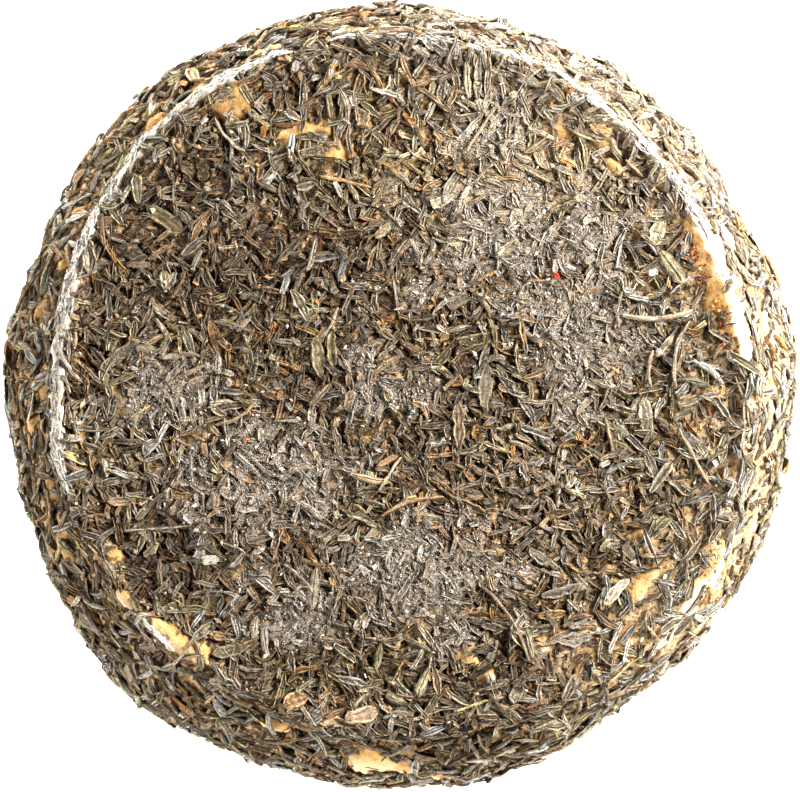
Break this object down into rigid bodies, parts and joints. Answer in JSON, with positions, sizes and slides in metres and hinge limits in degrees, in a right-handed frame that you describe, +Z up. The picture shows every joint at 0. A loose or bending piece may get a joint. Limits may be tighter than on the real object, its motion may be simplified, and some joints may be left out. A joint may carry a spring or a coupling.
{
  "type": "herb coated soft cheese",
  "caption": "Whole round of soft cheese with a raised top rim and bulging side, coated all over in dried thyme leaves.",
  "frame": {"origin": "middle of the flat base, under the middle of the outline seen from above", "axes": "+Z up out of the top face; seen from above with +Y up the picture, +X is to the right"},
  "size_m": [0.1276, 0.1262, 0.0507],
  "materials": {
    "herb_crust": "dry leaves pressed into soft cheese, matte",
    "rind": "soft cream coloured rind, amber near the leaves, white where it is dry",
    "thyme_leaf": "dried grey-green leaves with rolled edges, matte",
    "stem": "dry tan and brown stalks, matte",
    "bloom": "pale grey mould and crushed leaf, dusty"
  },
  "bodies": {
    "root": {"cheese_round": "herb_crust"}
  },
  "joints": []
}
